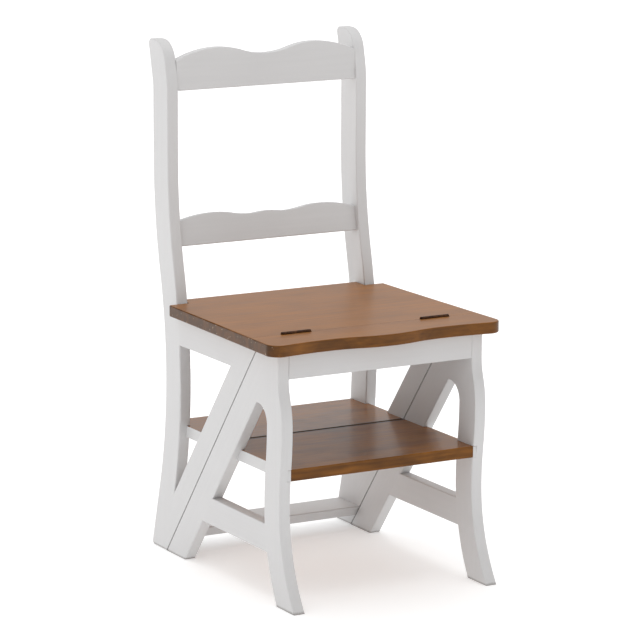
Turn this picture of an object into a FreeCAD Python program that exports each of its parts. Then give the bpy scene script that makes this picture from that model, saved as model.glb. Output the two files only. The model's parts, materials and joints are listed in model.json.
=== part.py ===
"""Folding step chair: a dining chair whose rear half swings over to make a four-tread library ladder.

Frame of the part: millimetres, +Z up, +X to the right of someone who faces the front of the chair,
-Y towards that person. The floor is z = 0 and the origin lies under the middle of the footprint.
Every drawing below is made from the hinge line, y = 0 at the hinge and y growing rearwards. The
finished pieces are then moved so that the footprint is centred on the origin.

The chair is cut by one slanting plane through the hinge line. The base half in front of the plane
has the front legs, the lower stringers, the lower side rails, the apron, the front strip of the
seat and the front step board. The back half has the posts, the upper stringers, the back rails,
the seat board, the rear step board and the low tread. Two butt hinges at the seat top join them.
"""
import FreeCAD, Part
import math
import os

# Overall sizes
seat_height = 450.0
frame_width = 394.0
side_thickness = 21.0
edge_ease = 2.0
floor_clearance = 0.6

# Slanting cut between the halves
cut_foot_reach = 354.0
cut_gap = 1.4
board_gap = 2.6
lower_stringer_depth = 54.0
upper_stringer_depth = 46.0

# Hinges
hinge_inset = 42.0
hinge_length = 54.0
hinge_lift = 0.3
knuckle_count = 5
knuckle_gap = 0.3
knuckle_diameter = 7.0
knuckle_relief = 0.5
pin_diameter = 3.0
pin_running_clearance = 0.05
pin_head_diameter = 4.6
pin_head_thickness = 0.8
leaf_thickness = 1.5
leaf_depth = 16.0
leaf_seam = 0.6
leaf_bedding = 0.1
screw_diameter = 3.0
screw_head_diameter = 5.6
screw_head_depth = 1.3
screw_length = 17.0
screw_pitch = 32.0

# Front legs, from the head under the seat down to the foot
leg_depth = 53.0
leg_front_reach = 53.5
leg_head_length = 44.0
leg_bulge = 13.5
leg_bulge_length = 83.0
leg_shin_set_back = 9.0
leg_shin_length = 138.0
leg_foot_reach = 47.0
leg_haunch_height = 31.0

# Back posts, from the foot up
post_depth = 55.5
post_splay = 15.0
post_ankle_height = 110.0
post_waist_reach = 327.0
post_waist_drop = 137.0
post_back_sweep = 44.0
post_back_rise = 377.0
post_flare_drop = 88.0
post_flare_radius = 110.0
post_flare = 13.0
post_crown_radius = 40.0
post_tip_radius = 9.0
post_heel_radius = 6.0

# Rails of the side frames
lower_rail_top = 133.0
lower_rail_height = 48.0
seat_rail_height = 52.0

# Seat
seat_thickness = 20.0
seat_front_reach = 85.0
seat_hollow_reach = 72.5
seat_hollow_offset = 106.0
seat_horn_reach = 85.0
seat_front_overhang = 26.0
seat_middle_overhang = 20.5
seat_middle_reach = 110.0
seat_rear_overhang = 16.5
seat_corner_radius = 22.0
seat_rear_cover = 31.0
seat_seam = 0.4
seat_notch_gap = 1.0
seat_edge_ease = 2.0

# Front apron and rear apron
apron_height = 45.0
apron_thickness = 20.0
apron_recess = 0.5
rear_apron_height = 45.0
rear_apron_thickness = 18.0
rear_apron_inset = 3.0

# Step boards and the low tread
step_height = 234.0
step_thickness = 20.0
step_front_inset = 0.5
step_rear_inset = 5.0
step_edge_ease = 1.5
tread_height = 41.0
tread_thickness = 20.0
tread_rear_inset = 5.0
housing_depth = 7.0
housing_gap = 0.1

# Rails of the back
crest_drop = 86.4
crest_end_height = 52.5
crest_hump_height = 71.5
crest_dip_height = 56.5
crest_hump_offset = 94.0
crest_thickness = 18.0
crest_recess = 4.0
crest_rake = 3.0
back_rail_rise = 94.2
back_rail_end_height = 43.5
back_rail_hump_height = 55.0
back_rail_hump_offset = 105.0
back_rail_hollow_height = 47.5
back_rail_hollow_offset = 34.0
back_rail_centre_height = 50.0
back_rail_thickness = 18.0
back_rail_recess = 8.0
back_rail_rake = 11.0

# Places that follow from the sizes above
half_width = frame_width / 2.0
inner_half = half_width - side_thickness
hinge_centre_x = inner_half - hinge_inset
seat_bottom = seat_height - seat_thickness
hinge_height = seat_height + hinge_lift
top_height = 2.0 * hinge_height - floor_clearance
cut_angle = math.atan2(cut_foot_reach, hinge_height)
board_half = inner_half + housing_depth
leg_middle = -leg_front_reach + leg_depth / 2.0
far = 2.0 * top_height

# Reaches past a face for cutting tools, and the closeness at which two places count as one
margin = 1.0
tolerance = 0.01


def vector(x, y, z):
    return FreeCAD.Vector(x, y, z)


def box(x_range, y_range, z_range):
    """Block between two values on each axis."""
    size = [high - low for low, high in (x_range, y_range, z_range)]
    corner = vector(x_range[0], y_range[0], z_range[0])
    return Part.makeBox(size[0], size[1], size[2], corner)


def cylinder_x(radius, x_range, y, z):
    """Round bar along X."""
    length = x_range[1] - x_range[0]
    return Part.makeCylinder(radius, length, vector(x_range[0], y, z), vector(1, 0, 0))


def level_arc(start, end):
    """Points of an arc in a plan or view that leaves its start level, along the first axis."""
    run = end[0] - start[0]
    rise = end[1] - start[1]
    radius = (run ** 2 + rise ** 2) / (2.0 * abs(rise))
    half_turn = math.asin(abs(run) / radius) / 2.0
    across = math.copysign(radius * math.sin(half_turn), run)
    along = math.copysign(radius * (1 - math.cos(half_turn)), rise)
    return start, (start[0] + across, start[1] + along), end


def wave(turns, end, place):
    """Edges of a wavy line that mirrors about its middle.

    The turns are the points from the middle outwards where the line is level, joined by pairs of
    equal arcs, and the end is its outer point. place puts a pair of numbers into the model.
    """
    arcs = [level_arc(turns[-1], end)]
    for inner, outer in zip(turns, turns[1:]):
        halfway = ((inner[0] + outer[0]) / 2.0, (inner[1] + outer[1]) / 2.0)
        arcs += [level_arc(inner, halfway), level_arc(outer, halfway)]
    edges = []
    for side in (-1, 1):
        for arc in arcs:
            edges.append(Part.Arc(*[place(side * across, along) for across, along in arc]).toShape())
    return edges


def mirrored(shape):
    """The same shape on the other side of the chair."""
    return shape.mirror(vector(0, 0, 0), vector(1, 0, 0))


def ease(solid, radius, wanted):
    """Round over the edges that the test picks out."""
    edges = [edge for edge in solid.Edges if wanted(edge)]
    return solid.makeFillet(radius, edges)


def runs_along_x(edge):
    start = edge.Vertexes[0].Point
    end = edge.Vertexes[-1].Point
    return abs(end.x - start.x) > 0.9 * edge.Length


def is_level(edge):
    return abs(edge.Vertexes[0].Z - edge.Vertexes[-1].Z) < tolerance


def joined(solids):
    """Solids fused into one, without seams between flush faces."""
    if len(solids) == 1:
        return solids[0]
    return solids[0].fuse(solids[1:]).removeSplitter()


def side_slab(face):
    """A drawing in the YZ plane given the thickness and place of the right-hand side frame."""
    slab = face.extrude(vector(side_thickness, 0, 0))
    slab.translate(vector(inner_half, 0, 0))
    return slab


def lean(angle):
    """Unit direction in the YZ plane that leans back from plumb by an angle."""
    return vector(0, math.sin(angle), math.cos(angle))


def squarely(angle):
    """Unit direction square to a lean, pointing to the rear."""
    return vector(0, math.cos(angle), -math.sin(angle))


def sway(run, rise):
    """Two equal arcs that carry a plumb member over by a run within a rise, and leave it plumb."""
    radius = (run * run + rise * rise) / (4.0 * abs(run))
    turn = math.copysign(math.asin(rise / 2.0 / radius), run)
    return [(radius, turn), (radius, -turn)]


def band(start, angle, steps, depth):
    """Face of constant depth in the YZ plane, drawn upwards from a point.

    A step is a length for a straight run, or (radius, turn) for an arc; a turn above 0 leans back.
    """
    rims = {-depth / 2.0: [], depth / 2.0: []}
    place = start
    for step in steps:
        if isinstance(step, tuple):
            radius, turn = step
            signed = math.copysign(radius, turn)
            centre = place + squarely(angle) * signed
            for offset, rim in rims.items():
                reach = offset - signed
                points = [centre + squarely(angle + turn * share) * reach for share in (0, 0.5, 1)]
                rim.append(Part.Arc(*points).toShape())
            angle += turn
            place = centre - squarely(angle) * signed
        else:
            end = place + lean(angle) * step
            for offset, rim in rims.items():
                shift = squarely(angle) * offset
                rim.append(Part.makeLine(place + shift, end + shift))
            place = end
    front, rear = rims.values()
    last = [rim[-1].valueAt(rim[-1].LastParameter) for rim in (front, rear)]
    first = [rim[0].valueAt(rim[0].FirstParameter) for rim in (front, rear)]
    low = Part.makeLine(first[0], first[1])
    high = Part.makeLine(last[0], last[1])
    return Part.Face(Part.Wire(Part.__sortEdges__(front + rear + [low, high])))


def outline_face(corners):
    """Straight-sided face in the YZ plane."""
    points = [vector(0, y, z) for y, z in corners]
    return Part.Face(Part.makePolygon(points + points[:1]))


def cut_y(z, offset):
    """Where a line parallel to the slanting cut, set back from it squarely, passes a height."""
    return (hinge_height - z) * math.tan(cut_angle) + offset / math.cos(cut_angle)


def slanted_face(z_range, offsets):
    """Face in the YZ plane between two lines parallel to the slanting cut."""
    low, high = z_range
    near, away = offsets
    return outline_face([
        (cut_y(low, near), low),
        (cut_y(low, away), low),
        (cut_y(high, away), high),
        (cut_y(high, near), high),
    ])


def half_space(is_base, gap):
    """Everything on one side of the slanting cut, short of half of the gap left along it."""
    edge = gap / 2.0
    offsets = (-far, -edge) if is_base else (edge, far)
    face = slanted_face((-far, far), offsets)
    block = face.extrude(vector(2.0 * frame_width, 0, 0))
    block.translate(vector(-frame_width, 0, 0))
    return block


base_side = half_space(True, cut_gap)
back_side = half_space(False, cut_gap)


def leg_drawing():
    """Front leg: straight head at the apron, bulge below it, hollow shin, foot swept to the front."""
    head_y = -leg_front_reach + leg_depth / 2.0
    shin_y = head_y - leg_bulge + leg_shin_set_back
    shin_height = seat_bottom - leg_head_length - leg_bulge_length - leg_shin_length
    radius = (leg_foot_reach ** 2 + shin_height ** 2) / (2.0 * leg_foot_reach)
    foot_angle = math.asin(shin_height / radius)
    start = vector(0, shin_y - leg_foot_reach, 0) - lean(foot_angle) * leg_depth
    steps = [leg_depth, (radius, -foot_angle)]
    steps += sway(-leg_shin_set_back, leg_shin_length)
    steps += sway(leg_bulge, leg_bulge_length)
    steps += [leg_head_length]
    return band(start, foot_angle, steps, leg_depth)


def post_drawing():
    """Back post: splayed foot, waist under the seat, back swept to the rear, top flared once more."""
    splay = math.radians(post_splay)
    flare = math.radians(post_flare)
    waist_height = seat_height - post_waist_drop
    radius = (waist_height - post_ankle_height) / math.sin(splay)
    foot_y = post_waist_reach + radius * (1 - math.cos(splay)) + post_ankle_height * math.tan(splay)
    start = vector(0, foot_y, 0) - lean(-splay) * post_depth
    shoulder_height = waist_height + post_back_rise
    steps = [post_depth + post_ankle_height / math.cos(splay), (radius, splay)]
    steps += sway(post_back_sweep, post_back_rise)
    steps += [top_height - post_flare_drop - shoulder_height]
    steps += [(post_flare_radius, flare), post_flare_drop + post_depth]
    return band(start, -splay, steps, post_depth)


leg_band = leg_drawing()
post_band = post_drawing()


def band_reach(face, z):
    """Front and rear of a drawn band at a height."""
    across = face.common(Part.makeLine(vector(0, -far, z), vector(0, far, z)))
    return across.BoundBox.YMin, across.BoundBox.YMax


def between_heights(face, low, high):
    """The part of a YZ drawing between two heights."""
    return face.common(outline_face([(-far, low), (far, low), (far, high), (-far, high)]))


def haunch():
    """Web that thickens the head of a front leg and rounds the top of the opening behind it."""
    low = seat_bottom - leg_head_length - leg_bulge_length
    high = low + leg_haunch_height
    start = vector(0, band_reach(leg_band, low)[1], low)
    end = vector(0, cut_y(high, -lower_stringer_depth), high)
    run = end.y - start.y
    radius = (run ** 2 + leg_haunch_height ** 2) / (2.0 * run)
    turn = math.asin(leg_haunch_height / radius) / 2.0
    middle = vector(0, start.y + radius * (1 - math.cos(turn)), start.z + radius * math.sin(turn))
    drop = (leg_middle + lower_stringer_depth / math.cos(cut_angle)) / math.tan(cut_angle)
    top = vector(0, leg_middle, hinge_height - drop)
    inside = start - vector(0, leg_depth / 2.0, 0)
    edges = [
        Part.Arc(start, middle, end).toShape(),
        Part.makeLine(end, top),
        Part.makeLine(top, inside),
        Part.makeLine(inside, start),
    ]
    return Part.Face(Part.Wire(edges))


def base_faces():
    """Leg, stringer and lower rail of the base half, drawn from the side."""
    stringer = slanted_face((0.0, seat_bottom), (-lower_stringer_depth, -cut_gap / 2.0))
    corners = [(leg_middle, 0.0), (far, 0.0), (far, seat_bottom), (leg_middle, seat_bottom)]
    stringer = stringer.common(outline_face(corners))
    rail_low = lower_rail_top - lower_rail_height
    rail_front = band_reach(leg_band, lower_rail_top)[1] - leg_depth / 2.0
    rail = outline_face([
        (rail_front, rail_low),
        (cut_y(rail_low, -lower_stringer_depth / 2.0), rail_low),
        (cut_y(lower_rail_top, -lower_stringer_depth / 2.0), lower_rail_top),
        (rail_front, lower_rail_top),
    ])
    leg = between_heights(leg_band, 0.0, seat_bottom)
    return {"front_leg": [leg, haunch()], "lower_stringer": [stringer], "lower_side_rail": [rail]}


def back_faces():
    """Post, stringer and seat rail of the back half, drawn from the side."""
    behind_cut = slanted_face((0.0, top_height), (cut_gap / 2.0, far))
    post = between_heights(post_band, 0.0, top_height).common(behind_cut)
    post_foot = sum(band_reach(post_band, 0.0)) / 2.0
    before_post = outline_face([(0.0, 0.0), (post_foot, 0.0), (post_foot, seat_bottom), (0.0, seat_bottom)])
    stringer = slanted_face((0.0, seat_bottom), (cut_gap / 2.0, upper_stringer_depth)).common(before_post)
    rail_low = seat_bottom - seat_rail_height
    rail_rear = band_reach(post_band, seat_bottom)[0] + post_depth / 2.0
    rail = outline_face([
        (cut_y(rail_low, upper_stringer_depth / 2.0), rail_low),
        (rail_rear, rail_low),
        (rail_rear, seat_bottom),
        (cut_y(seat_bottom, upper_stringer_depth / 2.0), seat_bottom),
    ])
    return {"back_post": [post], "upper_stringer": [stringer], "seat_side_rail": [rail]}


def squared_off(edge):
    """An edge that stays crisp: across the thickness, on the floor, under the seat or at the cut."""
    if runs_along_x(edge):
        return True
    ends = [vertex.Point for vertex in edge.Vertexes]
    if all(abs(point.z) < tolerance for point in ends):
        return True
    if all(abs(point.z - seat_bottom) < tolerance for point in ends):
        return True
    return all(abs(point.y - cut_y(point.z, 0.0)) < 2.0 * cut_gap for point in ends)


def rounded_corner(solid, radius, y, z):
    """Round the edge across the thickness that lies nearest to a place in the side view."""
    across = [edge for edge in solid.Edges if runs_along_x(edge)]
    place = vector(inner_half + side_thickness / 2.0, y, z)
    nearest = min(across, key=lambda edge: edge.CenterOfMass.distanceToPoint(place))
    return solid.makeFillet(radius, [nearest])


def side_frame(faces, corners=()):
    """Right-hand side frame eased as one and then parted into its members, first come first served.

    The members meet flush, as they do in a frame that is glued up before its edges are rounded.
    """
    slabs = {}
    for name, drawings in faces.items():
        slabs[name] = joined([side_slab(drawing) for drawing in drawings])
    whole = joined(list(slabs.values()))
    for radius, y, z in corners:
        whole = rounded_corner(whole, radius, y, z)
    whole = ease(whole, edge_ease, lambda edge: not squared_off(edge))
    members = {}
    for name, slab in slabs.items():
        members[name] = whole.common(slab)
        whole = whole.cut(slab)
    return members


def board_slot(height, thickness, rear):
    """Housing for the end of a board, open at the slanting cut and at the front."""
    z_range = (height - thickness - housing_gap, height + housing_gap)
    return box((inner_half - margin, board_half + housing_gap), (-far, rear + housing_gap), z_range)


step_middle = step_height - step_thickness / 2.0
tread_middle = tread_height - tread_thickness / 2.0
step_front = band_reach(leg_band, step_middle)[0] + step_front_inset
step_rear = band_reach(post_band, step_middle)[1] - step_rear_inset
tread_rear = band_reach(post_band, tread_middle)[1] - tread_rear_inset
seat_notch_y = band_reach(post_band, seat_bottom)[0] - seat_notch_gap
seat_rear = band_reach(post_band, seat_height)[0] + seat_rear_cover


def base_members():
    members = side_frame(base_faces())
    slot = board_slot(step_height, step_thickness, far)
    for name in ("front_leg", "lower_stringer"):
        members[name] = members[name].cut(slot)
    return members


def back_members():
    heel_y = band_reach(post_band, 0.0)[1]
    crown_front, crown_rear = band_reach(post_band, top_height - margin)
    corners = [
        (post_heel_radius, heel_y, 0.0),
        (post_crown_radius, crown_front, top_height),
        (post_tip_radius, crown_rear, top_height),
    ]
    members = side_frame(back_faces(), corners)
    step_slot = board_slot(step_height, step_thickness, step_rear)
    tread_slot = board_slot(tread_height, tread_thickness, tread_rear)
    for name in ("back_post", "upper_stringer"):
        members[name] = members[name].cut(step_slot).cut(tread_slot)
    return members


def board_in_step(y_range, height, thickness, is_base):
    """Level board in its housings, short of the slanting cut, with three long edges eased.

    The edge that stays sharp is the lower one at the cut, which nobody sees or treads on.
    """
    low = height - thickness
    board = box((-board_half, board_half), y_range, (low, height))
    board = board.common(half_space(is_base, board_gap))
    outer_y = y_range[0] if is_base else y_range[1]

    def is_worn(edge):
        middle = edge.CenterOfMass
        return runs_along_x(edge) and (abs(middle.y - outer_y) < tolerance or middle.z > height - tolerance)

    return ease(board, step_edge_ease, is_worn)


def step_board_front():
    return board_in_step((step_front, far), step_height, step_thickness, True)


def step_board_rear():
    return board_in_step((-far, step_rear), step_height, step_thickness, False)


def low_tread():
    return board_in_step((-far, tread_rear), tread_height, tread_thickness, False)


def seat_outline():
    """Plan of the whole seat: serpentine front, curved sides, notched round the posts."""
    z = seat_bottom
    turns = [(0.0, -seat_front_reach), (seat_hollow_offset, -seat_hollow_reach)]
    horn = (half_width + seat_front_overhang, -seat_horn_reach)
    edges = wave(turns, horn, lambda x, y: vector(x, y, z))
    notch_x = inner_half - seat_notch_gap
    for side in (-1, 1):
        corner = vector(side * horn[0], horn[1], z)
        middle = vector(side * (half_width + seat_middle_overhang), seat_middle_reach, z)
        shoulder = vector(side * (half_width + seat_rear_overhang), seat_notch_y, z)
        notch = vector(side * notch_x, seat_notch_y, z)
        rear = vector(side * notch_x, seat_rear, z)
        edges.append(Part.Arc(corner, middle, shoulder).toShape())
        edges.append(Part.makeLine(shoulder, notch))
        edges.append(Part.makeLine(notch, rear))
    edges.append(Part.makeLine(vector(-notch_x, seat_rear, z), vector(notch_x, seat_rear, z)))
    return Part.Face(Part.Wire(Part.__sortEdges__(edges)))


def seat_pieces():
    """Front strip and seat board, parted at the hinge line."""
    slab = seat_outline().extrude(vector(0, 0, seat_thickness))

    def is_front_corner(edge):
        return not is_level(edge) and edge.CenterOfMass.y < 0

    def is_rim(edge):
        middle = edge.CenterOfMass
        beside_post = abs(middle.x) > inner_half - seat_notch_gap - tolerance
        return is_level(edge) and not (beside_post and middle.y > seat_notch_y - tolerance)

    slab = ease(slab, seat_corner_radius, is_front_corner)
    slab = ease(slab, seat_edge_ease, is_rim)
    z_range = (seat_bottom - margin, seat_height + margin)
    front = slab.common(box((-frame_width, frame_width), (-far, -seat_seam / 2.0), z_range))
    rear = slab.common(box((-frame_width, frame_width), (seat_seam / 2.0, far), z_range))
    return front, rear


def apron(front, thickness, height):
    """Bar under the seat between the side frames, with its lower edges eased."""
    low = seat_bottom - height
    bar = box((-inner_half, inner_half), (front, front + thickness), (low, seat_bottom))
    return ease(bar, edge_ease, lambda edge: runs_along_x(edge) and edge.CenterOfMass.z < low + tolerance)


def front_apron():
    return apron(-leg_front_reach + apron_recess, apron_thickness, apron_height)


def rear_apron():
    front = band_reach(post_band, seat_bottom)[0] + rear_apron_inset
    return apron(front, rear_apron_thickness, rear_apron_height)


def back_board(bottom, turns, end_height, thickness, recess, rake):
    """Rail between the posts with a wavy top; its heights are measured above its bottom edge."""
    front = band_reach(post_band, bottom)[0] + recess
    ends = [(-inner_half, end_height), (-inner_half, 0.0), (inner_half, 0.0), (inner_half, end_height)]
    corners = [vector(x, front, bottom + height) for x, height in ends]
    edges = wave(turns, ends[-1], lambda x, height: vector(x, front, bottom + height))
    edges += [Part.makeLine(*pair) for pair in zip(corners, corners[1:])]
    face = Part.Face(Part.Wire(Part.__sortEdges__(edges)))
    board = face.extrude(vector(0, thickness, 0))
    board = ease(board, edge_ease, is_long_edge_of_rail)
    board.rotate(corners[1], vector(1, 0, 0), -rake)
    return board


def is_long_edge_of_rail(edge):
    """Neither across the thickness nor up the end where the rail meets a post."""
    ends = [vertex.Point for vertex in edge.Vertexes]
    across = abs(ends[-1].y - ends[0].y) > tolerance
    at_post = all(abs(abs(point.x) - inner_half) < tolerance for point in ends)
    return not across and (not at_post or runs_along_x(edge))


def crest_rail():
    turns = [(0.0, crest_dip_height), (crest_hump_offset, crest_hump_height)]
    low = top_height - crest_drop
    return back_board(low, turns, crest_end_height, crest_thickness, crest_recess, crest_rake)


def lower_back_rail():
    turns = [
        (0.0, back_rail_centre_height),
        (back_rail_hollow_offset, back_rail_hollow_height),
        (back_rail_hump_offset, back_rail_hump_height),
    ]
    low = seat_height + back_rail_rise
    end = back_rail_end_height
    return back_board(low, turns, end, back_rail_thickness, back_rail_recess, back_rail_rake)


def knuckle_ranges(is_rear):
    """Stretches of the barrel that belong to one leaf, which takes every other knuckle."""
    pitch = hinge_length / knuckle_count
    first = 1 if is_rear else 0
    ranges = []
    for index in range(first, knuckle_count, 2):
        start = -hinge_length / 2.0 + index * pitch
        ranges.append((start + knuckle_gap / 2.0, start + pitch - knuckle_gap / 2.0))
    return ranges


def hinge_screw(side, x):
    """Countersunk screw driven level through a leaf; side is -1 to the front or +1 to the rear."""
    face_y = side * leaf_seam / 2.0
    z = seat_bottom + (seat_thickness - knuckle_diameter / 2.0) / 2.0
    place = vector(x, face_y, z)
    way = vector(0, side, 0)
    head = Part.makeCone(screw_head_diameter / 2.0, screw_diameter / 2.0, screw_head_depth, place, way)
    shank = Part.makeCylinder(screw_diameter / 2.0, screw_length, place, way)
    return head.fuse(shank).removeSplitter()


def hinge_screws(side):
    return [hinge_screw(side, x) for x in (-screw_pitch / 2.0, screw_pitch / 2.0)]


def hinge_leaf(is_rear):
    """Leaf let into the edge of a seat board, with its own knuckles and room for the other's."""
    side = 1 if is_rear else -1
    y_range = sorted((side * leaf_seam / 2.0, side * (leaf_seam / 2.0 + leaf_thickness)))
    x_range = (-hinge_length / 2.0, hinge_length / 2.0)
    leaf = box(x_range, y_range, (hinge_height - leaf_depth, hinge_height))
    for start, end in knuckle_ranges(not is_rear):
        room = (start - knuckle_gap, end + knuckle_gap)
        leaf = leaf.cut(cylinder_x(knuckle_diameter / 2.0 + knuckle_gap, room, 0, hinge_height))
    for knuckle in knuckle_ranges(is_rear):
        leaf = leaf.fuse(cylinder_x(knuckle_diameter / 2.0, knuckle, 0, hinge_height))
    clearance = pin_running_clearance if is_rear else 0.0
    bore = cylinder_x(pin_diameter / 2.0 + clearance, (-hinge_length, hinge_length), 0, hinge_height)
    leaf = leaf.cut(bore)
    for screw in hinge_screws(side):
        leaf = leaf.cut(screw)
    return leaf.removeSplitter()


def hinge_pin():
    half = hinge_length / 2.0
    pin = cylinder_x(pin_diameter / 2.0, (-half, half), 0, hinge_height)
    for start in (-half - pin_head_thickness, half):
        head = cylinder_x(pin_head_diameter / 2.0, (start, start + pin_head_thickness), 0, hinge_height)
        pin = pin.fuse(head)
    return pin.removeSplitter()


def hinge_recess():
    """Wood taken out of both seat boards for a hinge: a groove for the barrel, a bed for each leaf."""
    half = hinge_length / 2.0
    groove_half = half + pin_head_thickness + knuckle_relief
    groove_radius = knuckle_diameter / 2.0 + knuckle_relief
    groove = cylinder_x(groove_radius, (-groove_half, groove_half), 0, hinge_height)
    bed_y = leaf_seam / 2.0 + leaf_thickness + leaf_bedding
    bed_low = hinge_height - leaf_depth - leaf_bedding
    bed = box((-half - leaf_bedding, half + leaf_bedding), (-bed_y, bed_y), (bed_low, hinge_height))
    recess = groove.fuse(bed)
    for side in (-1, 1):
        for screw in hinge_screws(side):
            recess = recess.fuse(screw)
    return recess


def placed(shape, x):
    copy = shape.copy()
    copy.translate(vector(x, 0, 0))
    return copy


def build():
    """Every node of the chair, by name, drawn from the hinge line."""
    nodes = {}
    for name, member in list(base_members().items()) + list(back_members().items()):
        nodes[name + "_right"] = member
        nodes[name + "_left"] = mirrored(member)
    strip, board = seat_pieces()
    front_leaf = hinge_leaf(False)
    rear_leaf = hinge_leaf(True)
    pin = hinge_pin()
    recess = hinge_recess()
    for side_name, x in (("left", -hinge_centre_x), ("right", hinge_centre_x)):
        strip = strip.cut(placed(recess, x))
        board = board.cut(placed(recess, x))
        nodes["hinge_front_leaf_" + side_name] = placed(front_leaf, x)
        nodes["hinge_rear_leaf_" + side_name] = placed(rear_leaf, x)
        nodes["hinge_pin_" + side_name] = placed(pin, x)
        nodes["hinge_front_screws_" + side_name] = placed(Part.makeCompound(hinge_screws(-1)), x)
        nodes["hinge_rear_screws_" + side_name] = placed(Part.makeCompound(hinge_screws(1)), x)
    nodes["seat_front_strip"] = strip
    nodes["seat_board"] = board
    nodes["front_apron"] = front_apron()
    nodes["rear_apron"] = rear_apron()
    nodes["step_board_front"] = step_board_front()
    nodes["step_board_rear"] = step_board_rear()
    nodes["low_tread"] = low_tread()
    nodes["crest_rail"] = crest_rail()
    nodes["lower_back_rail"] = lower_back_rail()
    return nodes


def export(nodes):
    """Centre the footprint on the origin and write one file for each node."""
    os.makedirs("parts", exist_ok=True)
    bounds = Part.makeCompound(list(nodes.values())).optimalBoundingBox()
    shift = -(bounds.YMin + bounds.YMax) / 2.0
    for name, shape in sorted(nodes.items()):
        shape.translate(vector(0, shift, 0))
        shape.exportStep("parts/" + name + ".step")
        print(name, len(shape.Solids), "solid", round(shape.Volume / 1000.0, 2), "cm3", shape.isValid())
    print("hinge axis at y", round(shift, 3), "z", round(hinge_height, 3))
    print("size", round(bounds.XLength, 1), round(bounds.YLength, 1), round(bounds.ZLength, 1))
    print("lowest point", round(bounds.ZMin, 3))


export(build())
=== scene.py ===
# %% [markdown]
# This lesson dresses a folding step chair: a painted wooden chair whose seat and steps are stained
# brown, and whose back half swings over to make a library ladder. The solids of the chair are
# finished already, so most of the work is in the materials, the light and the small fastenings.

# %% Load the chair
import json
import math

import bmesh
import bpy
from mathutils import Matrix, Vector


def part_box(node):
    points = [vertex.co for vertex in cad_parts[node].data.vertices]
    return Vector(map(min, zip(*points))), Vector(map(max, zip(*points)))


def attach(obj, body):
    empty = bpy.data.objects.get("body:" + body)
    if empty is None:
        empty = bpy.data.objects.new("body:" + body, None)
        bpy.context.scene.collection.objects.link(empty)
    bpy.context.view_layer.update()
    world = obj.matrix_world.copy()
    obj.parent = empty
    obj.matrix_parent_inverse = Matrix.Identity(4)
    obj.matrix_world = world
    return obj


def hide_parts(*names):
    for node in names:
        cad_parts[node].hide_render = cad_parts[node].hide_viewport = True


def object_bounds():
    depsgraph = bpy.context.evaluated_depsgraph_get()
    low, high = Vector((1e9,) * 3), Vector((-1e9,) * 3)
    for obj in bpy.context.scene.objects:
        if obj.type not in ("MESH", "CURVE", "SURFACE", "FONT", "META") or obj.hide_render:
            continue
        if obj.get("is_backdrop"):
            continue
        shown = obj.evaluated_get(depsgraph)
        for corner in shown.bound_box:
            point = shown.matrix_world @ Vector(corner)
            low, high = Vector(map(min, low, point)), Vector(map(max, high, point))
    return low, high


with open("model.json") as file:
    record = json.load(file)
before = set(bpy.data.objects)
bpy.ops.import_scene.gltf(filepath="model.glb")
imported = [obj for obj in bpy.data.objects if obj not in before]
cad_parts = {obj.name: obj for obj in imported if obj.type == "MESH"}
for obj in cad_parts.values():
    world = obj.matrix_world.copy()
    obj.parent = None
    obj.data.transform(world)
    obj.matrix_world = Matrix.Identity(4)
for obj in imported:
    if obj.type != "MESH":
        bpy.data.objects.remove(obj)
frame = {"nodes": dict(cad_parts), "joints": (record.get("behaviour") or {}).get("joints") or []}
nodes = frame["nodes"]
cad_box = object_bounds()
print("loaded", len(nodes), "pieces")

# %% [markdown]
# Colours are easiest to pick as the hex values that a paint chart or a picture program shows. Light
# adds up in linear values, though, so one function turns hex into linear before Blender sees it.

# %% Colours
def linear(hex_colour):
    """Linear red, green, blue and alpha of a hex colour, by the formula of the sRGB standard."""
    parts = []
    for place in (1, 3, 5):
        part = int(hex_colour[place:place + 2], 16) / 255.0
        parts.append(part / 12.92 if part <= 0.04045 else ((part + 0.055) / 1.055) ** 2.4)
    return parts + [1.0]


print("a mid grey of 128 in 255 is", round(linear("#808080")[0], 3), "in linear light")

# %% [markdown]
# A material is a small network of nodes. It could be drawn by hand in the shader editor, but as text
# a whole material can be read, compared and changed. One helper adds a node, sets its properties,
# and gives each of its inputs a plain value or a wire from an earlier node, so that a material reads
# from top to bottom like a recipe. An input goes by its name, or by its number where the names are
# alike. A mix node has inputs for several kinds of value, and three of their numbers are named here:
# the factor and the two colours that it mixes.

# %% Node helpers
MIX_FACTOR = 0
MIX_A = 6
MIX_B = 7


def add(tree, kind, inputs=None, **settings):
    """Add a node with its settings, and fill its inputs with values or with wires from other nodes."""
    node = tree.nodes.new(kind)
    for name, value in settings.items():
        setattr(node, name, value)
    for name, value in (inputs or {}).items():
        if isinstance(value, bpy.types.Node):
            value = next(socket for socket in value.outputs if socket.enabled)
        if isinstance(value, bpy.types.NodeSocket):
            tree.links.new(value, node.inputs[name])
        else:
            node.inputs[name].default_value = value
    return node


def new_material(name):
    """An empty material, ready for nodes."""
    material = bpy.data.materials.new(name)
    material.use_nodes = True
    material.node_tree.nodes.clear()
    return material, material.node_tree


print("helpers for nodes:", [helper.__name__ for helper in (add, new_material)])

# %% [markdown]
# Wood, paint and plated steel are all uneven in their own way, and each pattern has a size that can
# be measured on the real thing, so sizes are given in millimetres. A picture of each surface would
# have to be laid on every piece without a seam. A noise fills the whole solid, and it only has to be
# stretched along the grain and turned to suit the piece. The values of a noise gather round one
# half. A window names two values of a noise, or of the way that a face looks. The effect is nothing
# at the first and full at the second, or it runs between the two strengths that the window gives.

# %% Patterns with a grain
MM = 0.001
QUARTER_TURN = math.pi / 2.0
MOST_OF_NOISE = {"From Min": 0.3, "From Max": 0.7}


def per_mm(across, along):
    """Mapping scale of a pattern with its grain along Z, from its sizes in millimetres."""
    return (1.0 / (across * MM), 1.0 / (across * MM), 1.0 / (along * MM))


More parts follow.
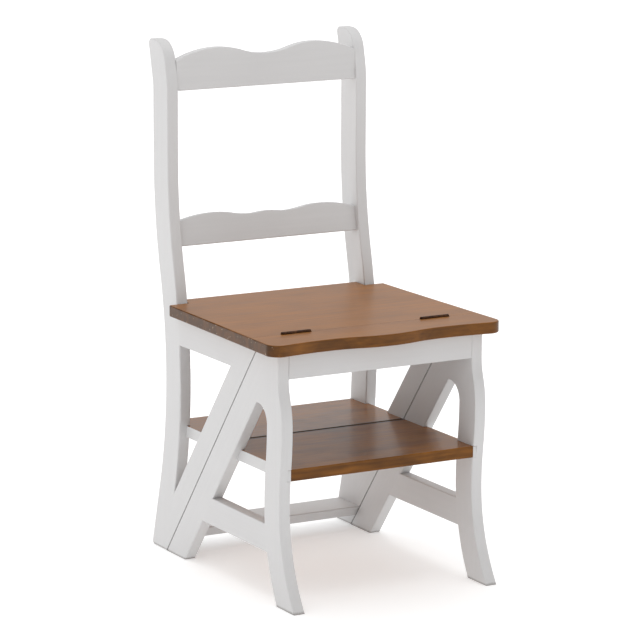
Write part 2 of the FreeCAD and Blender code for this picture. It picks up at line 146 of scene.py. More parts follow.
def grain_patterns(tree, place, axis, angle, patterns):
    """Noises from a table of sizes, with their grain turned from Z by an angle about an axis."""
    grain = add(tree, "ShaderNodeVectorRotate", {"Vector": place, "Angle": angle}, rotation_type=axis)
    noises = {}
    for name, (across, along, detail) in patterns.items():
        noise = add(tree, "ShaderNodeMapping", {"Vector": grain, "Scale": per_mm(across, along)})
        noise = {"Vector": noise, "Scale": 1.0, "Detail": detail}
        noises[name] = add(tree, "ShaderNodeTexNoise", noise)
    return noises


print("a pattern 2 mm wide repeats", round(per_mm(2.0, 2.0)[0]), "times in a metre")

# %% [markdown]
# One slanting cut through the line of the hinges parts the chair into its two halves. On the painted
# sides it shows as a fine dark line, and between the steps as a broader one: the shadow in the gap
# between the halves. A wider gap would look darker too, but the halves of a real chair all but
# touch. So the gap stays narrow, and the shadow is painted in: each material darkens by its distance
# from the cut, on the faces that look the right way. The distance is measured in the piece's own
# coordinates, which keeps the painted shadow on the piece when its half of the chair swings over.

# %% Cut between the halves
CUT_FOOT_REACH = 354.0
HINGE_AXIS = Vector(frame["joints"][0]["pos_m"])
SLANT = math.atan2(CUT_FOOT_REACH * MM, HINGE_AXIS.z)
ACROSS_CUT = Vector((0.0, math.cos(SLANT), math.sin(SLANT)))
# Near-black of the painted shadow in the gap between the halves
CUT_GAP_SHADOW = "#241207"


def paint_cut_gap_shadow(tree, colour, place, direction, line):
    """Painted shadow line along the cut, where one part of the surface's direction is above the line's
    least.
    """
    away = add(tree, "ShaderNodeVectorMath", {0: place, 1: HINGE_AXIS}, operation="SUBTRACT")
    away = add(tree, "ShaderNodeVectorMath", {0: away, 1: ACROSS_CUT}, operation="DOT_PRODUCT")
    away = add(tree, "ShaderNodeMath", {0: away.outputs["Value"]}, operation="ABSOLUTE")
    dark = {"Value": away, "From Min": line["edge"] * MM, "From Max": line["core"] * MM}
    dark = add(tree, "ShaderNodeMapRange", dark)
    faces = {0: direction, 1: line["least"]}
    faces = add(tree, "ShaderNodeMath", faces, operation="GREATER_THAN")
    dark = add(tree, "ShaderNodeMath", {0: dark, 1: faces}, operation="MULTIPLY")
    colour = {MIX_FACTOR: dark, MIX_A: colour, MIX_B: linear(CUT_GAP_SHADOW)}
    return add(tree, "ShaderNodeMix", colour, data_type="RGBA")


print("the cut leans", round(math.degrees(SLANT), 1), "degrees from upright")

# %% [markdown]
# The frame is hardwood with a satin, water-based off-white paint over a primer. Paint that is put on
# with a brush varies a little in depth, so a broad noise and one that follows the brush move it
# between two whites that are nearly the same. The last few millimetres above the floor are painted
# grey: partly scuffs, as feet that are pushed about soon get, and partly painted shade where the
# toes turn down to the floor. A second material could be laid on the soles, but it would end in a
# hard edge, so the paint itself changes with its height.

# %% Colour of the paint
PAINT = "#CFCECE"
PAINT_SHADED = "#CBCACA"
# Grey near the floor: painted shade where the toes turn down, and scuffs
PAINT_SHADE_AND_SCUFF = "#8F8B88"
# The sum of two noises gathers round one
UNEVEN_PAINT = {"From Min": 0.7, "From Max": 1.3}
# That sum, times the value on the next line, is added to the height, so the grey of painted shade and
# scuffs ends about 4.5 mm up
SHADE_AND_SCUFF_UNEVEN = 5.0
SHADE_AND_SCUFF_EDGE = 9.5
SHADE_AND_SCUFF_CORE = 5.0


def brush_the_paint(tree, noises):
    """White of the paint, with a trace of the brush."""
    uneven = {0: noises["clouds"], 1: noises["brushed"]}
    uneven = add(tree, "ShaderNodeMath", uneven, operation="ADD")
    uneven = add(tree, "ShaderNodeMapRange", {"Value": uneven, **UNEVEN_PAINT})
    colour = {MIX_FACTOR: uneven, MIX_A: linear(PAINT_SHADED), MIX_B: linear(PAINT)}
    return add(tree, "ShaderNodeMix", colour, data_type="RGBA")


def shade_and_scuff_the_feet(tree, colour, place, noises):
    """Grey the paint just above the floor, as painted shade under the toes and as scuffs."""
    height = add(tree, "ShaderNodeSeparateXYZ", {"Vector": place}).outputs["Z"]
    shaded_and_scuffed = {0: noises["clouds"], 1: noises["pores"]}
    shaded_and_scuffed = add(tree, "ShaderNodeMath", shaded_and_scuffed, operation="ADD")
    shaded_and_scuffed = {0: shaded_and_scuffed, 1: SHADE_AND_SCUFF_UNEVEN * MM, 2: height}
    shaded_and_scuffed = add(tree, "ShaderNodeMath", shaded_and_scuffed, operation="MULTIPLY_ADD")
    shaded_and_scuffed = {"Value": shaded_and_scuffed, "From Min": SHADE_AND_SCUFF_EDGE * MM, "From Max": SHADE_AND_SCUFF_CORE * MM}
    shaded_and_scuffed = add(tree, "ShaderNodeMapRange", shaded_and_scuffed)
    colour = {MIX_FACTOR: shaded_and_scuffed, MIX_A: colour, MIX_B: linear(PAINT_SHADE_AND_SCUFF)}
    return add(tree, "ShaderNodeMix", colour, data_type="RGBA")


print("paint between", PAINT_SHADED, "and", PAINT)

# %% [markdown]
# The film of paint hides the colour of the wood but not all of its pores. Up close the eye finds
# faint lines along each member and a little orange peel, and from further off only a soft sheen.
# They could be drawn as darker lines, but the film covers them too, so they are a relief that only
# catches the light. Wood is strongest along its grain, so the grain follows the member: up the legs
# and posts, down the slanting stringers, and along every rail. Real pores are a few tenths of a
# millimetre wide. That is too fine to show here, so they are drawn about five times as wide.

# %% Painted wood
# Millimetres across the grain, millimetres along it, and how fine the noise goes
PAINT_PATTERNS = {
    "clouds": (120.0, 120.0, 2.0),
    "brushed": (7.0, 220.0, 3.0),
    "pores": (1.6, 70.0, 3.0),
    "peel": (1.2, 1.2, 2.0),
}
PORE_LINES = {"From Min": 0.3, "From Max": 0.5}
PEEL_SHARE = 0.5
PAINT_BUMP = {"Strength": 0.2, "Distance": 0.03 * MM}
PAINT_IOR = 1.5
PAINT_ROUGHNESS = 0.42
PAINT_ROUGHNESS_SPREAD = 0.05
# Painted shadow of the gap at the cut: millimetres from the cut, and the least part of the surface's
# direction that is sideways
CUT_SHADOW_LINE = {"edge": 1.38, "core": 0.92, "least": 0.5}


def painted_wood(name, axis, angle, has_cut):
    """Satin paint over wood whose grain runs the way that the turn gives."""
    material, tree = new_material(name)
    coordinates = add(tree, "ShaderNodeTexCoord").outputs
    place = coordinates["Object"]
    noises = grain_patterns(tree, place, axis, angle, PAINT_PATTERNS)

    colour = brush_the_paint(tree, noises)
    # Painted shade and scuffs just above the floor
    colour = shade_and_scuff_the_feet(tree, colour, place, noises)
    # Painted shadow of the gap along the cut, on the sides of the members
    if has_cut:
        facing = add(tree, "ShaderNodeSeparateXYZ", {"Vector": coordinates["Normal"]}).outputs
        sideways = add(tree, "ShaderNodeMath", {0: facing["X"]}, operation="ABSOLUTE")
        colour = paint_cut_gap_shadow(tree, colour, place, sideways, CUT_SHADOW_LINE)

    rough = {"Value": noises["brushed"], **MOST_OF_NOISE}
    rough["To Min"] = PAINT_ROUGHNESS - PAINT_ROUGHNESS_SPREAD
    rough["To Max"] = PAINT_ROUGHNESS + PAINT_ROUGHNESS_SPREAD
    rough = add(tree, "ShaderNodeMapRange", rough)
    relief = add(tree, "ShaderNodeMapRange", {"Value": noises["pores"], **PORE_LINES})
    relief = {0: noises["peel"], 1: PEEL_SHARE, 2: relief}
    relief = add(tree, "ShaderNodeMath", relief, operation="MULTIPLY_ADD")
    bump = add(tree, "ShaderNodeBump", {**PAINT_BUMP, "Height": relief})

    inputs = {"Base Color": colour, "Roughness": rough, "IOR": PAINT_IOR, "Normal": bump}
    shader = add(tree, "ShaderNodeBsdfPrincipled", inputs)
    add(tree, "ShaderNodeOutputMaterial", {"Surface": shader})
    return material


paint_up = painted_wood("painted_wood_upright", "X_AXIS", 0.0, has_cut=True)
paint_slanting = painted_wood("painted_wood_slanting", "X_AXIS", -SLANT, has_cut=True)
paint_front_to_back = painted_wood("painted_wood_front_to_back", "X_AXIS", QUARTER_TURN, has_cut=True)
paint_across = painted_wood("painted_wood_across", "Y_AXIS", QUARTER_TURN, has_cut=False)
print("grain lines", PAINT_PATTERNS["pores"][0], "mm wide under the paint")

# %% [markdown]
# The seat and the steps are solid wood. A board is cut from a round trunk, so its grain is a set of
# growth rings round a heart that lies somewhere under the board. A wave pattern would draw rings as
# well, but as even stripes. The distance from the heart, pushed about by a long noise, gives streaks
# that wander and run on from the top over the front edge, as real ones do. The true rings are too
# fine to show at this size, so they are drawn about three times as wide, and the fibres are coarser
# than real ones for the same reason.

# %% Grain of the boards
RING_SPACING = 10.0
RING_WANDER = 16.0
RING_SHARPNESS = 2.0
HEART_DEPTH = 60.0
ALL_BUT_X = (0.0, 1.0, 1.0)
# Millimetres across the grain, millimetres along it, and how fine the noise goes
BOARD_PATTERNS = {
    "wander": (70.0, 420.0, 2.0),
    "streaks": (4.0, 110.0, 3.0),
    "fibres": (1.4, 26.0, 2.0),
    "patches": (42.0, 95.0, 2.0),
    "mottle": (15.0, 38.0, 2.0),
}


def growth_rings(tree, place, wander, board_top):
    """Rings round the heart of the trunk, each rising from 0 to 1 before the next one starts."""
    heart = (0.0, 0.0, HEART_DEPTH * MM - board_top)
    reach = add(tree, "ShaderNodeMapping", {"Vector": place, "Location": heart})
    reach = add(tree, "ShaderNodeVectorMath", {0: reach, 1: ALL_BUT_X}, operation="MULTIPLY")
    reach = add(tree, "ShaderNodeVectorMath", {0: reach}, operation="LENGTH").outputs["Value"]
    reach = {0: wander, 1: RING_WANDER * MM, 2: reach}
    reach = add(tree, "ShaderNodeMath", reach, operation="MULTIPLY_ADD")
    rings = add(tree, "ShaderNodeMath", {0: reach, 1: RING_SPACING * MM}, operation="DIVIDE")
    rings = add(tree, "ShaderNodeMath", {0: rings}, operation="FRACT")
    return add(tree, "ShaderNodeMath", {0: rings, 1: RING_SHARPNESS}, operation="POWER")


print("growth rings", RING_SPACING, "mm apart")

# %% [markdown]
# The boards are stained brown, and no stain goes on evenly. On top it is palest along the streaks
# and darker in the rings, patches and open fibres. The edges are planed across the rings, so they
# drink more of it and come out darker and mottled. The ends of the fibres drink most, which turns
# the short sides of the seat very dark in places, and knocks leave small pale flecks in them. One
# long chain of nodes would do, but with a function for each kind of surface, a change of one leaves
# the others alone.

# %% Stain on the boards
PALE_STREAKS = {"From Min": 0.36, "From Max": 0.66}
DARK_PATCHES = {"From Min": 0.45, "From Max": 0.75}
DARK_FIBRES = {"From Min": 0.42, "From Max": 0.25, "To Max": 0.35}
RING_STRENGTH = 0.2
EDGE_FACING = {"From Min": 0.9, "From Max": 0.5}
EDGE_MOTTLE = {"From Min": 0.35, "From Max": 0.65, "To Min": 1.0, "To Max": 0.65}
END_FACING = {"From Min": 0.45, "From Max": 0.8, "To Max": 0.9}
END_MOTTLE = {"From Min": 0.4, "From Max": 0.6}
FLECKS = {"From Min": 0.67, "From Max": 0.72}
FLECK_PATTERN = {"flecks": (5.0, 5.0, 2.0)}


def stain_the_grain(tree, noises, rings, browns, patchiness):
    """Brown of the long grain: pale streaks, then darker rings, patches and fibres over them."""
    streaks = add(tree, "ShaderNodeMapRange", {"Value": noises["streaks"], **PALE_STREAKS})
    colour = {MIX_FACTOR: streaks, MIX_A: linear(browns["middle"]), MIX_B: linear(browns["light"])}
    colour = add(tree, "ShaderNodeMix", colour, data_type="RGBA")
    rings = add(tree, "ShaderNodeMath", {0: rings, 1: RING_STRENGTH}, operation="MULTIPLY")
    patches = {"Value": noises["patches"], **DARK_PATCHES, "To Max": patchiness}
    patches = add(tree, "ShaderNodeMapRange", patches)
    fibres = add(tree, "ShaderNodeMapRange", {"Value": noises["fibres"], **DARK_FIBRES})
    for darker in (rings, patches, fibres):
        colour = {MIX_FACTOR: darker, MIX_A: colour, MIX_B: linear(browns["dark"])}
        colour = add(tree, "ShaderNodeMix", colour, data_type="RGBA")
    return colour


def shade_the_edges(tree, colour, facing, noises, browns):
    """Darken the faces that aren't level, unevenly."""
    steep = add(tree, "ShaderNodeMath", {0: facing["Z"]}, operation="ABSOLUTE")
    steep = add(tree, "ShaderNodeMapRange", {"Value": steep, **EDGE_FACING})
    uneven = add(tree, "ShaderNodeMapRange", {"Value": noises["mottle"], **EDGE_MOTTLE})
    steep = add(tree, "ShaderNodeMath", {0: steep, 1: uneven}, operation="MULTIPLY")
    colour = {MIX_FACTOR: steep, MIX_A: colour, MIX_B: linear(browns["edge_shade"])}
    return add(tree, "ShaderNodeMix", colour, data_type="RGBA", blend_type="MULTIPLY")


def stain_the_ends(tree, colour, facing, place, noises, browns):
    """Dark, mottled end grain with pale flecks, on the faces that look to the left or the right."""
    flecks = grain_patterns(tree, place, "X_AXIS", 0.0, FLECK_PATTERN)["flecks"]
    flecks = add(tree, "ShaderNodeMapRange", {"Value": flecks, **FLECKS})
    mottle = add(tree, "ShaderNodeMapRange", {"Value": noises["mottle"], **END_MOTTLE})
    ends = {MIX_FACTOR: mottle, MIX_A: linear(browns["dark"]), MIX_B: linear(browns["end_grain"])}
    ends = add(tree, "ShaderNodeMix", ends, data_type="RGBA")
    ends = {MIX_FACTOR: flecks, MIX_A: ends, MIX_B: linear(browns["fleck"])}
    ends = add(tree, "ShaderNodeMix", ends, data_type="RGBA")
    sideways = add(tree, "ShaderNodeMath", {0: facing["X"]}, operation="ABSOLUTE")
    sideways = add(tree, "ShaderNodeMapRange", {"Value": sideways, **END_FACING})
    colour = {MIX_FACTOR: sideways, MIX_A: colour, MIX_B: ends}
    return add(tree, "ShaderNodeMix", colour, data_type="RGBA")


print("flecks in the end grain", FLECK_PATTERN["flecks"][0], "mm wide")

# %% [markdown]
# The slanting cut parts the front step from the rear one. On top, a painted shadow line follows the
# cut, for the shade in the gap between the steps. The cut faces themselves stay brown, because they
# are the front edges of the treads once the chair has become a ladder. The ends of a step lie in
# housings in the painted sides. A second material could cover them, but a step is one piece, so its
# own material turns to the colour of the paint there, on every face but the top, and no brown shows
# in the joints.

# %% Steps at the cut and in the housings
# Painted shadow of the gap between the steps: millimetres from the cut, and the least part of the
# surface's direction that is upward
STEP_CUT_SHADOW_LINE = {"edge": 7.0, "core": 3.4, "least": 0.65}
TOP_FACING = 0.5
HOUSING_MARGIN = 0.5
HOUSING_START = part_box("lower_stringer_right")[0].x + HOUSING_MARGIN * MM


def paint_the_housed_ends(tree, colour, facing, place):
    """Paint on the part of a step that lies inside the side frames, except on top."""
    sideways = add(tree, "ShaderNodeSeparateXYZ", {"Vector": place}).outputs["X"]
    housed = add(tree, "ShaderNodeMath", {0: sideways}, operation="ABSOLUTE")
    housed = add(tree, "ShaderNodeMath", {0: housed, 1: HOUSING_START}, operation="GREATER_THAN")
    not_top = add(tree, "ShaderNodeMath", {0: facing["Z"], 1: TOP_FACING}, operation="LESS_THAN")
    housed = add(tree, "ShaderNodeMath", {0: housed, 1: not_top}, operation="MULTIPLY")
    colour = {MIX_FACTOR: housed, MIX_A: colour, MIX_B: linear(PAINT)}
    return add(tree, "ShaderNodeMix", colour, data_type="RGBA")


print("the housings start", round(HOUSING_START / MM, 1), "mm from the middle")

# %% [markdown]
# A satin lacquer seals the stain. One rough surface could stand for both, but lacquer is a clear
# film over wood that is duller than itself, and the shader's coat is exactly that: it mirrors the
# pale room when a board is seen at a low angle, and that is what pales the brown on top. Lacquer
# usually bends light as glass does. Here the film bends it less, so that the room doesn't wash out
# the stain. Both steps have the same finish, but the rear one is given a glossier coat than the
# front one, to paint in the brighter reflection of the room that the rear board shows.

# %% Stained and lacquered boards
WOOD_IOR = 1.5
WOOD_SPECULAR = 0.1
LACQUER_IOR = 1.3
WOOD_ROUGHER_FROM = 0.15
WOOD_ROUGHER_TO = 0.25
BOARD_BUMP = {"Strength": 0.25, "Distance": 0.05 * MM}
RING_RELIEF = -0.4


def stained_wood(name, browns, board_top, roughness, gloss, patchiness, has_cut):
    """Stained and lacquered board with its grain along X."""
    material, tree = new_material(name)
    coordinates = add(tree, "ShaderNodeTexCoord").outputs
    place = coordinates["Object"]
    facing = add(tree, "ShaderNodeSeparateXYZ", {"Vector": coordinates["Normal"]}).outputs
    noises = grain_patterns(tree, place, "Y_AXIS", QUARTER_TURN, BOARD_PATTERNS)
    rings = growth_rings(tree, place, noises["wander"], board_top)

    colour = stain_the_grain(tree, noises, rings, browns, patchiness)
    colour = shade_the_edges(tree, colour, facing, noises, browns)
    colour = stain_the_ends(tree, colour, facing, place, noises, browns)
    if has_cut:
        # Painted shadow of the gap between the steps, on top
        colour = paint_cut_gap_shadow(tree, colour, place, facing["Z"], STEP_CUT_SHADOW_LINE)
        colour = paint_the_housed_ends(tree, colour, facing, place)

    rough = {"Value": noises["streaks"], **MOST_OF_NOISE}
    rough["To Min"] = roughness + WOOD_ROUGHER_FROM
    rough["To Max"] = roughness + WOOD_ROUGHER_TO
    rough = add(tree, "ShaderNodeMapRange", rough)
    relief = {0: rings, 1: RING_RELIEF, 2: noises["fibres"]}
    relief = add(tree, "ShaderNodeMath", relief, operation="MULTIPLY_ADD")
    bump = add(tree, "ShaderNodeBump", {**BOARD_BUMP, "Height": relief})
    inputs = {
        "Base Color": colour,
        "Roughness": rough,
        "IOR": WOOD_IOR,
        "Specular IOR Level": WOOD_SPECULAR,
        "Coat Weight": gloss,
        "Coat Roughness": roughness,
        "Coat IOR": LACQUER_IOR,
        "Normal": bump,
    }
    shader = add(tree, "ShaderNodeBsdfPrincipled", inputs)
    add(tree, "ShaderNodeOutputMaterial", {"Surface": shader})
    return material


SEAT_BROWNS = {
    "light": "#9E6422",
    "middle": "#89541A",
    "dark": "#5A3611",
    "edge_shade": "#AFAFAF",
    "end_grain": "#41270C",
    "fleck": "#A08A70",
}
STEP_BROWNS = {
    "light": "#A06521",
    "middle": "#895519",
    "dark": "#4B2A0B",
    "edge_shade": "#BFBFBF",
    "end_grain": "#4F3215",
    "fleck": "#A08A70",
}
SEAT_FINISH = {
    "browns": SEAT_BROWNS,
    "board_top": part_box("seat_board")[1].z,
    "roughness": 0.3,
    "patchiness": 0.3,
    "has_cut": False,
}
STEP_FINISH = {
    "browns": STEP_BROWNS,
    "board_top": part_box("step_board_front")[1].z,
    "roughness": 0.2,
    "patchiness": 0.6,
    "has_cut": True,
}
stained_seat = stained_wood("stained_seat_wood", gloss=0.66, **SEAT_FINISH)
# The rear step's glossier coat stands in for a brighter reflection of the room; the real steps share
# one finish.
stained_front = stained_wood("stained_front_step", gloss=0.52, **STEP_FINISH)
stained_rear = stained_wood("stained_rear_step", gloss=0.8, **STEP_FINISH)
print("stained", [material.name for material in (stained_seat, stained_front, stained_rear)])

# %% [markdown]
# The butt hinges are steel, plated and then darkened to an antique bronze. The dark film is thin, so
# the metal still shines through it, a little more where hands rub the knuckles. A plain dark metal
# would look like plastic this close to the pale paint. One blotchy noise changes the colour and the
# roughness together, as rubbing does, and a fine grit breaks up the reflections. The grit of such a
# finish is ten times finer than it is drawn here, where it has to show.

# %% Bronzed steel
BRONZE = "#3B2416"
BRONZE_WORN = "#5A3B26"
BRONZE_METALLIC = 0.85
BRONZE_ROUGHNESS = 0.5
BRONZE_ROUGHNESS_WORN = 0.36
BRONZE_BUMP = {"Strength": 0.2, "Distance": 0.03 * MM}
WORN_BLOTCHES = {"From Min": 0.45, "From Max": 0.7}
# Millimetres across and along, which are equal because steel has no grain, and how fine it goes
BRONZE_PATTERNS = {
    "blotches": (6.0, 6.0, 4.0),
    "grit": (0.5, 0.5, 2.0),
}


def bronzed_steel():
    """Antiqued hinge metal."""
    material, tree = new_material("bronzed_steel")
    place = add(tree, "ShaderNodeTexCoord").outputs["Object"]
    noises = grain_patterns(tree, place, "X_AXIS", 0.0, BRONZE_PATTERNS)
    worn = add(tree, "ShaderNodeMapRange", {"Value": noises["blotches"], **WORN_BLOTCHES})
    colour = {MIX_FACTOR: worn, MIX_A: linear(BRONZE), MIX_B: linear(BRONZE_WORN)}
    colour = add(tree, "ShaderNodeMix", colour, data_type="RGBA")
    rough = {"Value": noises["blotches"], **MOST_OF_NOISE}
    rough.update({"To Min": BRONZE_ROUGHNESS, "To Max": BRONZE_ROUGHNESS_WORN})
    rough = add(tree, "ShaderNodeMapRange", rough)
    bump = add(tree, "ShaderNodeBump", {**BRONZE_BUMP, "Height": noises["grit"]})
    inputs = {
        "Base Color": colour,
        "Metallic": BRONZE_METALLIC,
        "Roughness": rough,
        "Normal": bump,
    }
    shader = add(tree, "ShaderNodeBsdfPrincipled", inputs)
    add(tree, "ShaderNodeOutputMaterial", {"Surface": shader})
    return material


bronze = bronzed_steel()
print("hinge metal from", BRONZE, "to", BRONZE_WORN)

# %% [markdown]
# Each leaf is held by two countersunk screws, driven level into the edge of a seat board, and they
# show only when the chair stands open as a ladder. The solids have plain heads. A real head has a
# cross recess for the driver, so each pair is drawn again. Blender's own cylinder could be the
# start, but the recess would have to be cut out of it with a boolean, which may leave stray faces in
# so small a mesh. It is cleaner to draw closed loops of points and to join them with walls of faces.

# %% Loops and walls of faces
RING_SIDES = 32


def add_points(mesh, places):
    """Points of the mesh at places given in millimetres."""
    return [mesh.verts.new([part * MM for part in place]) for place in places]


def ring(mesh, radius, depth):
    """Closed loop of points round the screw's axis."""
    turns = [2.0 * math.pi * step / RING_SIDES for step in range(RING_SIDES)]
    places = [(radius * math.cos(turn), depth, radius * math.sin(turn)) for turn in turns]
    return add_points(mesh, places)


def loop_edges(mesh, points):
    """Edges that close a loop of points."""
    return [mesh.edges.new((points[i - 1], points[i])) for i in range(len(points))]


def wall(mesh, first, second):
    """Faces between two loops with the same number of points."""
    for i in range(len(first)):
        mesh.faces.new((first[i - 1], first[i], second[i], second[i - 1]))


print("a ring has", RING_SIDES, "sides")

# %% [markdown]
# Now the screw itself. Its flat face is filled between the rim and the outline of a cross, the cross
# is sunk and closed by a smaller one, and behind the face a cone and a shank run down to the tip.
# The thread could be a spiral of faces, but it is buried in the wood, so the shank stays plain.

# %% Countersunk screw
SCREW_DIAMETER = 3.0
SCREW_HEAD_DIAMETER = 5.6
SCREW_HEAD_DEPTH = 1.3
SCREW_TIP_LENGTH = 4.0
SCREW_TIP_RADIUS = 0.2
CROSS_REACH = 1.55
CROSS_WIDTH = 0.9
CROSS_DEPTH = 0.8
CROSS_NARROWING = 0.6


def cross(mesh, shrink, depth):
    """Closed loop of points round a cross with four equal arms."""
    near = CROSS_WIDTH / 2.0 * shrink
    far = CROSS_REACH * shrink
    places = []
    for cosine, sine in ((1, 0), (0, 1), (-1, 0), (0, -1)):
        for x, z in ((far, -near), (far, near), (near, near)):
            places.append((x * cosine - z * sine, depth, x * sine + z * cosine))
    return add_points(mesh, places)


def add_screw(mesh, length):
    """Countersunk screw with its face at the origin and its tip along +Y."""
    rim = ring(mesh, SCREW_HEAD_DIAMETER / 2.0, 0.0)
    outline = cross(mesh, 1.0, 0.0)
    floor = cross(mesh, CROSS_NARROWING, CROSS_DEPTH)
    edges = loop_edges(mesh, rim) + loop_edges(mesh, outline)
    bmesh.ops.triangle_fill(mesh, use_beauty=True, edges=edges)
    wall(mesh, outline, floor)
    mesh.faces.new(floor)
    neck = ring(mesh, SCREW_DIAMETER / 2.0, SCREW_HEAD_DEPTH)
    shank_end = ring(mesh, SCREW_DIAMETER / 2.0, length - SCREW_TIP_LENGTH)
    tip = ring(mesh, SCREW_TIP_RADIUS, length)
    wall(mesh, rim, neck)
    wall(mesh, neck, shank_end)
    wall(mesh, shank_end, tip)
    mesh.faces.new(tip)


print("screw heads", SCREW_HEAD_DIAMETER, "mm wide")

# %% [markdown]
# A pair of screws takes the place of each pair in the solids, and its box says where it goes: the
# faces lie at one end of the box, the tips at the other, and a head touches each side. Typed places
# would do as well, but these follow the chair when one of its sizes changes.

# %% Screws in their places
def add_screw_pair(node, name, body, is_rear):
    """Two screws in the place of a node, driven to the front or to the rear."""
    low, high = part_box(node)
    length = (high.y - low.y) / MM
    rim = SCREW_HEAD_DIAMETER / 2.0 * MM
    turn = Matrix.Rotation(0.0 if is_rear else math.pi, 4, "Z")
    pair = bmesh.new()
    for x in (low.x + rim, high.x - rim):
        screw = bmesh.new()
        add_screw(screw, length)
        bmesh.ops.recalc_face_normals(screw, faces=screw.faces)
        face = Vector((x, low.y if is_rear else high.y, (low.z + high.z) / 2.0))
        bmesh.ops.transform(screw, matrix=Matrix.Translation(face) @ turn, verts=screw.verts)
        finished = bpy.data.meshes.new("screw")
        screw.to_mesh(finished)
        screw.free()
        pair.from_mesh(finished)
        bpy.data.meshes.remove(finished)
    data = bpy.data.meshes.new(name)
    pair.to_mesh(data)
    pair.free()
    data.materials.append(bronze)
    screws = bpy.data.objects.new(name, data)
    bpy.context.scene.collection.objects.link(screws)
    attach(screws, body)
    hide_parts(node)
    return len(data.polygons)


for side in ("left", "right"):
    faces = add_screw_pair("hinge_front_screws_" + side, "front_screws_" + side, "base_frame", False)
    faces += add_screw_pair("hinge_rear_screws_" + side, "rear_screws_" + side, "back_frame", True)
    print("hinge screws", side, "with", faces, "faces")

# %% [markdown]
# Now each piece takes its material. It could be picked piece by piece, but the names of the pieces
# say what they are, so a short list of name starts is enough to find the way the grain runs. The
# last start is empty and fits any name. It is left for the back rails, the aprons and the low
# tread, which all run from side to side.

# %% Dress the pieces
FINISHES = [
    ("hinge", bronze),
    ("seat_board", stained_seat),
    ("seat_front_strip", stained_seat),
    ("step_board_front", stained_front),
    ("step_board_rear", stained_rear),
    ("lower_stringer", paint_slanting),
    ("upper_stringer", paint_slanting),
    ("lower_side_rail", paint_front_to_back),
    ("seat_side_rail", paint_front_to_back),
    ("front_leg", paint_up),
    ("back_post", paint_up),
    ("", paint_across),
]


def finish_of(name):
    """The first finish in the list whose words the name starts with."""
    return next(finish for start, finish in FINISHES if name.startswith(start))


for name, piece in nodes.items():
    piece.data.materials.clear()
    piece.data.materials.append(finish_of(name))
print("dressed", len(nodes), "pieces")

# %% [markdown]
# The camera stands to the left of the chair's front, well above the seat, and far enough away that
# the perspective is mild. A long lens does the same in a studio. A constraint could aim it at the
# chair, but three plain angles are easier to match to a photograph one at a time. Its place is given
# in metres from the middle of the footprint, and its turn as a compass angle, a dip and a slight
# tilt.

# %% Camera
CAMERA_PLACE = Vector((-2.9055, -5.1646, 1.6438))
CAMERA_YAW = math.radians(-29.338)
CAMERA_DIP = math.radians(11.565)
CAMERA_TILT = math.radians(0.223)
CAMERA_RANGE = 100.0
FOCAL_PIXELS = 3528.8
FRAME_PIXELS = 640.0


def add_camera():
    """Camera that looks the way that the yaw, dip and tilt say."""
    data = bpy.data.cameras.new("camera")
    data.lens = FOCAL_PIXELS / FRAME_PIXELS * data.sensor_width
    data.clip_end = CAMERA_RANGE
    camera = bpy.data.objects.new("camera", data)
    level = math.cos(CAMERA_DIP)
    back = (math.sin(CAMERA_YAW) * level, -math.cos(CAMERA_YAW) * level, math.sin(CAMERA_DIP))
    back = Vector(back)
    right = Vector((0.0, 0.0, 1.0)).cross(back).normalized()
    up = back.cross(right)
    turned_right = right * math.cos(CAMERA_TILT) + up * math.sin(CAMERA_TILT)
    turned_up = up * math.cos(CAMERA_TILT) - right * math.sin(CAMERA_TILT)
    turn = Matrix((turned_right, turned_up, back)).transposed()
    camera.matrix_world = Matrix.Translation(CAMERA_PLACE) @ turn.to_4x4()
    bpy.context.scene.collection.objects.link(camera)
    bpy.context.scene.camera = camera
    return data.lens


print("camera with a lens of", round(add_camera()), "mm,", round(CAMERA_PLACE.length, 1), "m away")

# %% [markdown]
# The floor is a sheet of white studio paper that fills the whole picture. It glows a little, as lit
# paper does, and more so further away, where it runs into the surround. A curved sweep of paper
# hides the horizon in a real studio, but it does so from one side only.

# %% Floor
WHITE = "#FFFFFF"
FLOOR_SIZE = 30.0
FLOOR_COLOUR = "#F4F4F4"
FLOOR_ROUGHNESS = 0.9
FLOOR_GLOW = 0.3
FAR_GLOW = 0.55
FAR_GLOW_START = 2.6
FAR_GLOW_END = 5.0


def add_floor():
    """Pale seamless floor that glows more with distance."""
    mesh = bpy.data.meshes.new("floor")
    half = FLOOR_SIZE / 2.0
    corners = [(-half, -half, 0.0), (half, -half, 0.0), (half, half, 0.0), (-half, half, 0.0)]
    mesh.from_pydata(corners, [], [(0, 1, 2, 3)])
    floor = bpy.data.objects.new("floor", mesh)
    bpy.context.scene.collection.objects.link(floor)
    material, tree = new_material("studio_floor")
    place = add(tree, "ShaderNodeTexCoord").outputs["Object"]
    reach = add(tree, "ShaderNodeVectorMath", {0: place}, operation="LENGTH").outputs["Value"]
    glow = {"Value": reach, "From Min": FAR_GLOW_START, "From Max": FAR_GLOW_END}
    glow.update({"To Min": FLOOR_GLOW, "To Max": FAR_GLOW})
    glow = add(tree, "ShaderNodeMapRange", glow, interpolation_type="SMOOTHSTEP")
    inputs = {
        "Base Color": linear(FLOOR_COLOUR),
        "Roughness": FLOOR_ROUGHNESS,
        "Emission Color": linear(WHITE),
        "Emission Strength": glow,
    }
    shader = add(tree, "ShaderNodeBsdfPrincipled", inputs)
    add(tree, "ShaderNodeOutputMaterial", {"Surface": shader})
    mesh.materials.append(material)
    floor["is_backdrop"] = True


add_floor()
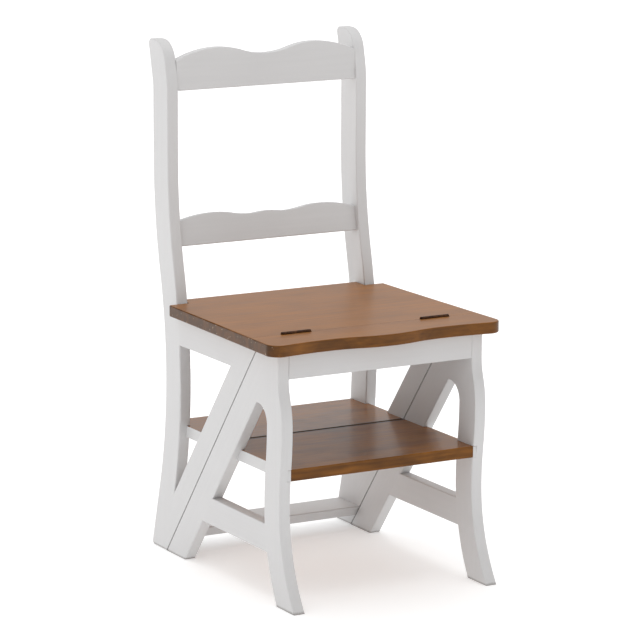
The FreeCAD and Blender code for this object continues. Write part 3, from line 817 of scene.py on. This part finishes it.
print("floor", FLOOR_SIZE, "m wide")

# %% [markdown]
# The room is a plain white studio. A picture of a real one could light the chair as well, but a few
# lights are easier to move one at a time. An even white surround does most of the work, so no side
# goes dark. A large soft light overhead whitens whatever faces up, and a weak one on the left makes
# the left sides a little brighter than the fronts. Two more stand behind and light the treads under
# the seat. They are left out of reflections, because the lacquered boards would show them as two
# pale patches. Large lights wrap round the chair and leave soft shadows.

# %% Light
SURROUND = 0.75
AIM = Vector((0.0, 0.0, 0.45))
# Name, place and width in metres, whether reflections show it, and power in watts
LIGHTS = [
    ("left", (-4.5, -0.3, 1.2), 2.5, True, 6.0),
    ("rear", (0.4, 3.8, 2.4), 3.0, False, 34.0),
    ("rear_low", (-1.5, 4.2, 1.0), 2.5, False, 36.0),
    ("top", (0.0, 0.0, 3.6), 3.0, True, 32.0),
]


def add_light(name, place, size, is_mirrored, power):
    """Square soft light at a place, turned to face the middle of the chair."""
    data = bpy.data.lights.new(name, "AREA")
    data.shape = "SQUARE"
    data.size = size
    data.energy = power
    light = bpy.data.objects.new(name, data)
    light.visible_glossy = is_mirrored
    light.location = place
    light.rotation_mode = "QUATERNION"
    light.rotation_quaternion = (AIM - Vector(place)).to_track_quat("-Z", "Y")
    bpy.context.scene.collection.objects.link(light)


def add_surround(strength):
    """Even white light from all round."""
    world = bpy.data.worlds.new("studio")
    world.use_nodes = True
    background = world.node_tree.nodes["Background"]
    background.inputs["Color"].default_value = linear(WHITE)
    background.inputs["Strength"].default_value = strength
    bpy.context.scene.world = world


add_surround(SURROUND)
for name, place, size, is_mirrored, power in LIGHTS:
    add_light(name, place, size, is_mirrored, power)
bpy.context.scene.view_settings.view_transform = "Standard"
print("lights", [light[0] for light in LIGHTS])

# %% [markdown]
# The box of the solids and the box of the dressed chair are both measured, and the size of the dressed
# chair is printed. The dressed chair has to stay inside the size of its solids.

# %% Measure the sizes and finish
boxes = {"cad": cad_box, "visual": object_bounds()}
sizes = [round((high - low) / MM, 1) for low, high in zip(*boxes["visual"])]
print("width, depth and height in mm:", sizes)
